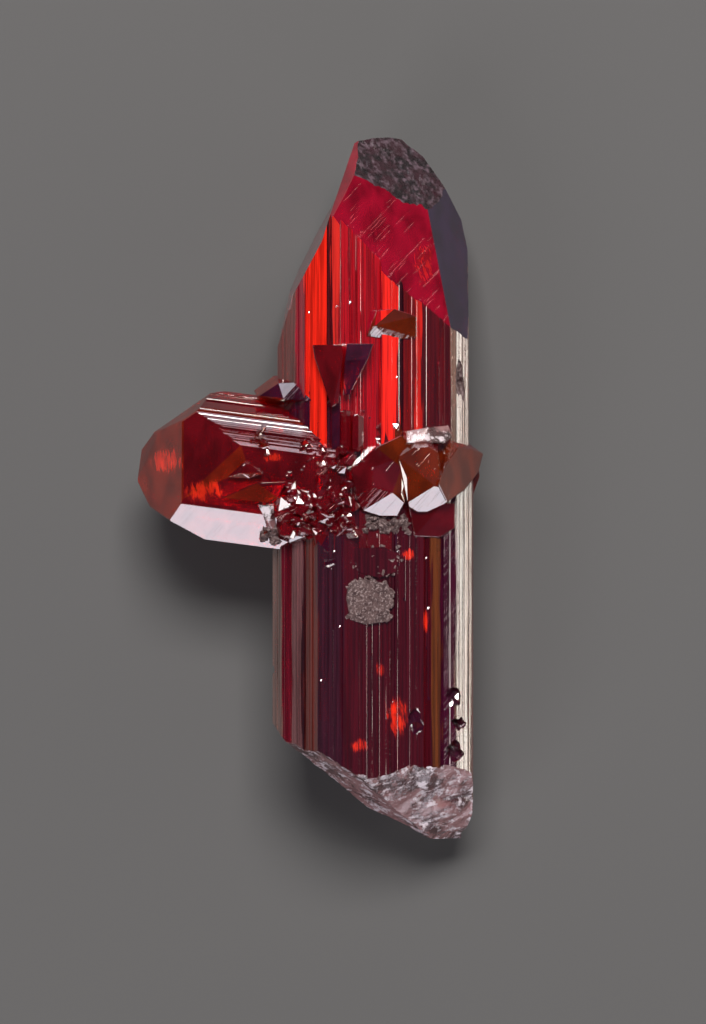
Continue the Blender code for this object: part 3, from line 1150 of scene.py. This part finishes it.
class Nodes:
    """A short way to build a material's nodes around its Principled shader."""

    def __init__(self, name: str) -> None:
        """Make a new material with a Principled node.

        Args:
            name: Name of the material.
        """
        self.material = bpy.data.materials.new(name)
        self.material.use_nodes = True
        self.tree = self.material.node_tree
        self.shader = self.tree.nodes["Principled BSDF"]

    def add(self, kind: str, **settings: object) -> bpy.types.Node:
        """Add a node and set its properties.

        Args:
            kind: The node's type.
            **settings: Properties of the node.

        Returns:
            The node.
        """
        node = self.tree.nodes.new(kind)
        for name, value in settings.items():
            setattr(node, name, value)
        return node

    def link(self, source: Socket, target: Socket) -> None:
        """Link two sockets."""
        self.tree.links.new(source, target)

    def steps(self, stretch: Point, turn: float = 0.0) -> Socket:
        """Give the place on the object in units that differ by axis.

        Args:
            stretch: Length of one unit along each axis, in grid steps.
            turn: Turn about Z in degrees, before the stretch.

        Returns:
            The vector output.
        """
        where = self.add("ShaderNodeTexCoord")
        turned = self.add("ShaderNodeMapping", vector_type="POINT")
        turned.inputs["Rotation"].default_value = (0, 0, math.radians(turn))
        self.link(where.outputs["Object"], turned.inputs["Vector"])
        sized = self.add("ShaderNodeMapping", vector_type="POINT")
        sized.inputs["Scale"].default_value = tuple(1 / (GRID * unit) for unit in stretch)
        self.link(turned.outputs["Vector"], sized.inputs["Vector"])
        return sized.outputs["Vector"]

    def cloud(self, cloud: Cloud) -> Socket:
        """Add a noise.

        Args:
            cloud: The noise.

        Returns:
            Its value.
        """
        node = self.add("ShaderNodeTexNoise")
        node.inputs["Scale"].default_value = 1.0
        node.inputs["Detail"].default_value = cloud.detail
        node.inputs["Roughness"].default_value = cloud.rough
        node.inputs["Distortion"].default_value = cloud.shift
        self.link(self.steps(cloud.stretch, cloud.turn), node.inputs["Vector"])
        value = node.outputs["Fac"]
        return self.band(value, cloud.span, cloud.result) if cloud.span else value

    def band(self, value: Socket, span: Corner, result: Corner = (0.0, 1.0)) -> Socket:
        """Map a span of a value smoothly on another.

        Args:
            value: The value.
            span: Where the span starts and ends.
            result: What it is mapped on there.

        Returns:
            The mapped value.
        """
        node = self.add("ShaderNodeMapRange", interpolation_type="SMOOTHSTEP", clamp=True)
        for name, edge in zip(("From Min", "From Max", "To Min", "To Max"), (*span, *result)):
            node.inputs[name].default_value = edge
        self.link(value, node.inputs["Value"])
        return node.outputs["Result"]

    def math(self, how: str, first: Socket | float, second: Socket | float) -> Socket:
        """Combine two values.

        Args:
            how: The operation, such as ADD or MULTIPLY.
            first: The first value.
            second: The second value.

        Returns:
            The result.
        """
        node = self.add("ShaderNodeMath", operation=how)
        for socket, value in zip(node.inputs, (first, second)):
            if isinstance(value, (int, float)):
                socket.default_value = value
            else:
                self.link(value, socket)
        return node.outputs["Value"]

    def between(self, share: Socket, first: Socket | float, second: Socket | float) -> Socket:
        """Go from one value to another by a share.

        Args:
            share: Share of the second.
            first: The first value.
            second: The second value.

        Returns:
            The value between them.
        """
        return self.math("ADD", first, self.math("MULTIPLY", share, self.math("SUBTRACT", second, first)))

    def mix(self, share: Socket, first: Socket | Point, second: Socket | Point) -> Socket:
        """Mix two colours.

        Args:
            share: Share of the second.
            first: The first colour.
            second: The second colour.

        Returns:
            The mixed colour.
        """
        node = self.add("ShaderNodeMix", data_type="RGBA")
        self.link(share, node.inputs[0])
        for socket, value in zip((node.inputs[6], node.inputs[7]), (first, second)):
            if isinstance(value, tuple):
                socket.default_value = (*value, 1.0)
            else:
                self.link(value, socket)
        return node.outputs[2]

    def mark(self, name: str, output: str = "Fac") -> Socket:
        """Read what a face is marked with.

        Args:
            name: Name of the mark.
            output: Which output of it.

        Returns:
            The output.
        """
        node = self.add("ShaderNodeAttribute", attribute_name=name)
        return node.outputs[output]

    def bump(self, height: Socket, strength: float, depth: float) -> None:
        """Raise the surface by a height.

        Args:
            height: The height, 0 to 1.
            strength: Strength of the effect.
            depth: Depth in grid steps.
        """
        node = self.add("ShaderNodeBump")
        node.inputs["Strength"].default_value = strength
        node.inputs["Distance"].default_value = depth * GRID
        self.link(height, node.inputs["Height"])
        self.link(node.outputs["Normal"], self.shader.inputs["Normal"])


@dataclass(frozen=True)
class PaintedLightBand:
    """One band that runs along the prism: its left edge, its hue and the share of it that is clear. The
    bands are partly painted light: the bright orange ones with little clear share are painted glow, the pale
    grey-pink ones at the edges a painted reflection and the darkest ones painted shade where little light
    comes through, between the stone's own reds.
    """

    left: float
    colour: Point
    clear: float


@dataclass(frozen=True)
class PaintedGlow:
    """A painted glow spot: a place painted bright orange to stand for light coming out from inside, by its
    middle and half widths across and along.
    """

    place: Corner
    reach: Corner
    strength: float


@dataclass(frozen=True)
class CrystalFinishAndPaintedLight:
    """The clear red stone: brilliant, striated and scratched, with light taken up inside, and with painted
    glow, painted reflection and painted shade in its colour.
    """

    bending: float = 2.7
    taken_colour: Point = (0.96, 0.22, 0.05)
    taken_density: float = 240.0
    line_depth: float = 0.35
    line_strength: float = 0.5
    scratch_share: float = 0.13
    half_width: float = 102.0
    blend: float = 1.2
    meeting: Corner = (7.0, 9.0)
    wobble: Cloud = Cloud((5.0, 90.0, 5.0), 2.0, 0.6, span=(0.3, 0.7), result=(-2.0, 2.0))
    streak: Cloud = Cloud((3.0, 140.0, 3.0), 3.0, 0.65, span=(0.36, 0.62), result=(0.58, 1.30))
    murk: Cloud = Cloud((22.0, 34.0, 22.0), 2.0, 0.5, shift=0.4, span=(0.32, 0.68), result=(0.58, 1.12))
    along: Cloud = Cloud((1.6, 260.0, 1.6), 2.0, 0.6)
    cross: Cloud = Cloud((260.0, 1.6, 1.6), 2.0, 0.6, ARM_SLOPE)
    scratch: Cloud = Cloud((80.0, 0.65, 80.0), 1.0, 0.5, -48.0, span=(0.57, 0.72), result=(1.0, 0.0))
    grime: Cloud = Cloud((14.0, 30.0, 14.0), 4.0, 0.6, span=(0.45, 0.75), result=(0.02, 0.10))
    ragged: Cloud = Cloud((4.0, 22.0, 5.0), 4.0, 0.70, -8.0, 0.4)
    raggedness: float = 3.4
    # painted glow: spots painted bright orange and hardly clear, standing for light coming out from inside
    painted_glow_edge: Corner = (1.5, 2.5)
    painted_glow_hue: Point = (1.0, 0.035, 0.01)
    painted_glow_clear: float = 0.15
    painted_glows: tuple[PaintedGlow, ...] = (
        PaintedGlow((-206.0, 27.0), (20.0, 15.0), 1.0),
        PaintedGlow((-168.0, -3.0), (26.0, 12.0), 1.0),
        PaintedGlow((-96.0, 58.0), (10.0, 5.0), 0.8),
        PaintedGlow((-100.0, 30.0), (12.0, 6.0), 0.8),
        PaintedGlow((34.0, -66.0), (9.0, 7.0), 1.0),
        PaintedGlow((51.0, -131.0), (4.0, 13.0), 1.0),
        PaintedGlow((22.0, -228.0), (13.0, 24.0), 1.0),
        PaintedGlow((-14.0, -255.0), (11.0, 8.0), 0.9),
        PaintedGlow((6.0, -180.0), (5.0, 9.0), 0.6),
        PaintedGlow((50.0, 222.0), (13.0, 24.0), 0.5),
        PaintedGlow((-30.0, 100.0), (5.0, 12.0), 0.6),
    )
    # bands of the point half: the bright orange ones are painted glow, the pale ones at the edges a painted
    # reflection
    upper: tuple[PaintedLightBand, ...] = (
        PaintedLightBand(-102.0, (0.34, 0.10, 0.09), 0.60),
        PaintedLightBand(-77.0, (0.60, 0.02, 0.05), 0.50),
        PaintedLightBand(-68.5, (1.00, 0.022, 0.008), 0.10),
        PaintedLightBand(-46.5, (0.12, 0.006, 0.008), 0.50),
        PaintedLightBand(-42.5, (0.85, 0.03, 0.02), 0.35),
        PaintedLightBand(-34.0, (0.62, 0.005, 0.014), 0.42),
        PaintedLightBand(6.5, (1.00, 0.020, 0.010), 0.06),
        PaintedLightBand(24.5, (0.08, 0.004, 0.006), 0.60),
        PaintedLightBand(28.5, (0.32, 0.006, 0.004), 0.45),
        PaintedLightBand(40.5, (0.80, 0.020, 0.012), 0.30),
        PaintedLightBand(47.5, (0.17, 0.006, 0.010), 0.55),
        PaintedLightBand(75.5, (0.55, 0.30, 0.22), 0.70),
    )
    # bands of the foot half: the pale ones at the edges are a painted reflection, the darkest ones painted
    # shade
    lower: tuple[PaintedLightBand, ...] = (
        PaintedLightBand(-102.0, (0.30, 0.16, 0.14), 0.60),
        PaintedLightBand(-91.5, (0.24, 0.01, 0.03), 0.60),
        PaintedLightBand(-82.0, (0.34, 0.14, 0.15), 0.60),
        PaintedLightBand(-71.5, (0.06, 0.004, 0.006), 0.60),
        PaintedLightBand(-68.5, (0.26, 0.03, 0.02), 0.55),
        PaintedLightBand(-56.5, (0.075, 0.010, 0.026), 0.55),
        PaintedLightBand(-31.5, (0.125, 0.003, 0.012), 0.58),
        PaintedLightBand(57.0, (0.28, 0.07, 0.012), 0.55),
        PaintedLightBand(66.5, (0.12, 0.008, 0.045), 0.60),
        PaintedLightBand(81.5, (0.55, 0.30, 0.22), 0.70),
    )

    def ramp(self, made: Nodes, place: Socket, stripes: tuple[PaintedLightBand, ...]) -> tuple[Socket, Socket]:
        """Colour the surface by its place across the prism, in bands of painted glow, painted reflection and
        painted shade between the stone's own reds.

        Args:
            made: The material's nodes.
            place: The place, 0 at the left edge and 1 at the right one.
            stripes: The bands from left to right.

        Returns:
            The hue and the clear share.
        """
        node = made.add("ShaderNodeValToRGB")
        stops = node.color_ramp.elements
        marks = [(0.0, stripes[0])]
        for before, after in zip(stripes[:-1], stripes[1:]):
            for side, stripe in ((-self.blend / 2, before), (self.blend / 2, after)):
                marks.append(((after.left + side) / (2 * self.half_width) + 0.5, stripe))
        for _ in range(len(marks) - 2):
            stops.new(0.5)
        for stop, (where, stripe) in zip(stops, marks):
            stop.position = where
            stop.color = (*stripe.colour, stripe.clear)
        made.link(place, node.inputs["Fac"])
        return node.outputs["Color"], node.outputs["Alpha"]

    def glow(self, made: Nodes, where: bpy.types.Node) -> Socket:
        """Place the painted glow spots, each broken up by fine streaks.

        Args:
            made: The material's nodes.
            where: The node that gives the place on the object in grid steps.

        Returns:
            How strongly a place carries the painted glow, 0 to 1.
        """
        ragged = made.math("MULTIPLY", made.cloud(self.ragged), self.raggedness)
        total = None
        for painted_glow_spot in self.painted_glows:
            squares = []
            for axis, middle, reach in zip("XY", painted_glow_spot.place, painted_glow_spot.reach):
                off = made.math("DIVIDE", made.math("SUBTRACT", where.outputs[axis], middle), reach)
                squares.append(made.math("MULTIPLY", off, off))
            near = made.math("ADD", made.math("ADD", *squares), ragged)
            spot = made.band(near, self.painted_glow_edge, (painted_glow_spot.strength, 0.0))
            total = spot if total is None else made.math("MAXIMUM", total, spot)
        return total

    def colour(self, made: Nodes, where: bpy.types.Node) -> tuple[Socket, Socket]:
        """Colour the stone by its bands of painted light and shade, its zones with their painted glow and
        reflection, its painted glow spots and the shade of its streaks.

        Args:
            made: The material's nodes.
            where: The node that gives the place on the object in grid steps.

        Returns:
            The hue and the clear share.
        """
        across = made.math("ADD", where.outputs["X"], made.cloud(self.wobble))
        across = made.math("ADD", made.math("DIVIDE", across, 2 * self.half_width), 0.5)
        upper, upper_clear = self.ramp(made, across, self.upper)
        lower, lower_clear = self.ramp(made, across, self.lower)
        high = made.band(where.outputs["Y"], self.meeting)
        striped = made.mark("striped")
        glow = self.glow(made, where)
        hue = made.mix(striped, made.mark("tint", "Color"), made.mix(high, lower, upper))
        # painted glow: the spots turn the hue bright orange and take away most of the clear share
        hue = made.mix(glow, hue, self.painted_glow_hue)
        clear = made.between(high, lower_clear, upper_clear)
        clear = made.between(striped, made.mark("clear"), clear)
        clear = made.between(glow, clear, self.painted_glow_clear)
        shade = made.between(made.mark("lines_prism"), made.cloud(self.murk), made.cloud(self.streak))
        shaded = made.add("ShaderNodeVectorMath", operation="SCALE")
        made.link(hue, shaded.inputs[0])
        made.link(shade, shaded.inputs["Scale"])
        return shaded.outputs["Vector"], clear

    def build(self) -> bpy.types.Material:
        """Build the material."""
        made = Nodes("crystal")
        shader = made.shader
        shader.inputs["IOR"].default_value = self.bending
        where = made.add("ShaderNodeSeparateXYZ")
        made.link(made.steps((1.0, 1.0, 1.0)), where.inputs["Vector"])
        hue, clear = self.colour(made, where)
        made.link(hue, shader.inputs["Base Color"])
        made.link(clear, shader.inputs["Transmission Weight"])
        along = made.math("MULTIPLY", made.cloud(self.along), made.mark("lines_prism"))
        cross = made.math("MULTIPLY", made.cloud(self.cross), made.mark("lines_arm"))
        scratch = made.math("MULTIPLY", made.cloud(self.scratch), self.scratch_share)
        height = made.math("ADD", made.math("ADD", along, cross), scratch)
        made.bump(height, self.line_strength, self.line_depth)
        made.link(made.cloud(self.grime), shader.inputs["Roughness"])
        volume = made.add("ShaderNodeVolumeAbsorption")
        volume.inputs["Color"].default_value = (*self.taken_colour, 1.0)
        volume.inputs["Density"].default_value = self.taken_density
        output = made.tree.nodes["Material Output"]
        made.link(volume.outputs["Volume"], output.inputs["Volume"])
        return made.material


@dataclass(frozen=True)
class RoughFinish:
    """A dull or broken surface: dark, with middle blotches and pale flecks, and a fine grit. On the fracture
    the pale lilac-white flecks are painted highlights of the break; on the frosted cap and the crust they
    are the surface's own pale tone.

    Sizes and depths are in grid steps. Roughness is given at the darkest and at the palest flecks.
    """

    name: str
    dark: Point
    middle: Point
    pale: Point
    blotch: float
    roughness: Corner
    bending: float
    grit: float
    grit_depth: float
    fleck_size: float = 0.4
    blotch_edge: Corner = (0.40, 0.58)
    fleck_edge: Corner = (0.50, 0.61)
    gloss_edge: Corner = (0.35, 0.65)
    grit_strength: float = 0.6

    def build(self) -> bpy.types.Material:
        """Build the material."""
        made = Nodes(self.name)
        shader = made.shader
        shader.inputs["IOR"].default_value = self.bending
        size = self.blotch * self.fleck_size
        blotch = made.cloud(Cloud((self.blotch,) * 3, 6.0, 0.66, shift=0.3, span=self.blotch_edge))
        fleck = made.cloud(Cloud((size,) * 3, 7.0, 0.72))
        colour = made.mix(blotch, self.dark, self.middle)
        colour = made.mix(made.band(fleck, self.fleck_edge), colour, self.pale)
        made.link(colour, shader.inputs["Base Color"])
        made.link(made.band(fleck, self.gloss_edge, self.roughness), shader.inputs["Roughness"])
        made.bump(made.cloud(Cloud((self.grit,) * 3, 5.0, 0.66)), self.grit_strength, self.grit_depth)
        return made.material


FINISHES = (
    CrystalFinishAndPaintedLight(),
    # painted highlight: the fracture's pale lilac-white flecks stand for light glancing off the conchoidal
    # break
    RoughFinish(
        "fracture", (0.055, 0.010, 0.012), (0.32, 0.15, 0.155), (0.76, 0.66, 0.72),
        34.0, (0.10, 0.36), 2.4, 3.0, 1.2,
    ),
    RoughFinish(
        "frosted", (0.006, 0.0015, 0.003), (0.032, 0.007, 0.013), (0.10, 0.058, 0.078),
        20.0, (0.20, 0.50), 1.9, 2.2, 0.6,
    ),
    RoughFinish(
        "crust", (0.035, 0.011, 0.013), (0.095, 0.052, 0.052), (0.28, 0.21, 0.21),
        6.0, (0.45, 0.9), 1.5, 1.4, 0.9,
    ),
)


@dataclass(frozen=True)
class Softbox:
    """One rectangular studio light that faces the specimen.

    It stands turn degrees from the point of the prism, clockwise from above, and rise degrees above
    the floor. Its sides and its distance are in metres.
    """

    name: str
    turn: float
    rise: float
    wide: float
    tall: float
    glow: float
    colour: Point
    away: float = 0.5

    def build(self) -> Body:
        """Set the light up."""
        turn = math.radians(self.turn)
        rise = math.radians(self.rise)
        low = math.cos(rise)
        place = Vector((math.sin(turn) * low, math.cos(turn) * low, math.sin(rise))) * self.away
        leave_edit()
        bpy.ops.object.light_add(type="AREA", location=place)
        item = bpy.context.object
        item.name = self.name
        item.rotation_euler = (-place).to_track_quat("-Z", "Y").to_euler()
        light = item.data
        light.shape = "RECTANGLE"
        light.size = self.wide
        light.size_y = self.tall
        light.energy = self.glow * math.pi * self.wide * self.tall
        light.color = self.colour
        return item


@dataclass(frozen=True)
class Studio:
    """The plain floor, the soft lights and the camera that looks down on the specimen."""

    lights: tuple[Softbox, ...] = (
        Softbox("key light", 0, 60, 0.24, 0.18, 22.0, (1.0, 0.96, 0.92)),
        Softbox("foot light", 182, 12, 0.5, 0.16, 3.0, (0.93, 0.90, 1.0)),
        Softbox("right light", 94, 8, 0.5, 0.16, 4.8, (1.0, 0.98, 0.9)),
        Softbox("head light", 2, 13, 0.5, 0.14, 1.7, (0.93, 0.90, 1.0)),
        Softbox("fill light", 222, 34, 0.24, 0.16, 4.5, (1.0, 0.97, 0.97)),
        Softbox("veil light", 90, 56, 0.5, 0.34, 0.035, (0.9, 0.6, 1.0)),
    )
    floor_size: float = 4.0
    floor_colour: Point = (0.12, 0.12, 0.122)
    floor_roughness: float = 0.9
    floor_gloss: float = 0.2
    sky: Point = (0.012, 0.011, 0.014)
    eye: Point = (-0.001339, -0.00153, 0.0065)
    distance: float = 0.4
    frame_height: float = 1024.0
    sensor: float = 24.0
    clip: Corner = (0.01, 10.0)

    def build(self) -> None:
        """Build the floor, the lights, the surroundings and the camera."""
        for light in self.lights:
            light.build()
        self.build_floor()
        self.build_sky()
        self.build_camera()

    def build_floor(self) -> None:
        """Build the plain pale floor."""
        leave_edit()
        bpy.ops.mesh.primitive_plane_add(size=self.floor_size)
        floor = bpy.context.object
        floor.name = "floor"
        made = Nodes("floor grey")
        made.shader.inputs["Base Color"].default_value = (*self.floor_colour, 1.0)
        made.shader.inputs["Roughness"].default_value = self.floor_roughness
        made.shader.inputs["Specular IOR Level"].default_value = self.floor_gloss
        floor.data.materials.append(made.material)

    def build_sky(self) -> None:
        """Build the even dim surroundings."""
        world = bpy.data.worlds.new("studio")
        world.use_nodes = True
        bpy.context.scene.world = world
        back = world.node_tree.nodes["Background"]
        back.inputs["Color"].default_value = (*self.sky, 1.0)
        back.inputs["Strength"].default_value = 1.0

    def build_camera(self) -> None:
        """Build the camera, straight above the specimen."""
        leave_edit()
        place = Vector(self.eye) + Vector((0, 0, self.distance))
        bpy.ops.object.camera_add(location=place, rotation=(0, 0, 0))
        camera = bpy.context.object
        camera.name = "camera"
        camera.data.sensor_fit = "VERTICAL"
        camera.data.sensor_height = self.sensor
        camera.data.lens = self.sensor * self.distance / (self.frame_height * GRID)
        camera.data.clip_start, camera.data.clip_end = self.clip
        bpy.context.scene.camera = camera


def main() -> None:
    """Build the specimen and the studio."""
    logging.basicConfig(level=logging.INFO, format="%(name)s: %(message)s")
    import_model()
    for finish in FINISHES:
        finish.build()
    stone = Stone().build()
    Zones().mark(stone)
    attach(stone, "root")
    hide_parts("proustite")
    LOG.info("finished stone: %d faces", len(stone.data.polygons))
    Studio().build()
    bpy.context.scene.view_settings.view_transform = "Standard"


if __name__ == "__main__":
    main()
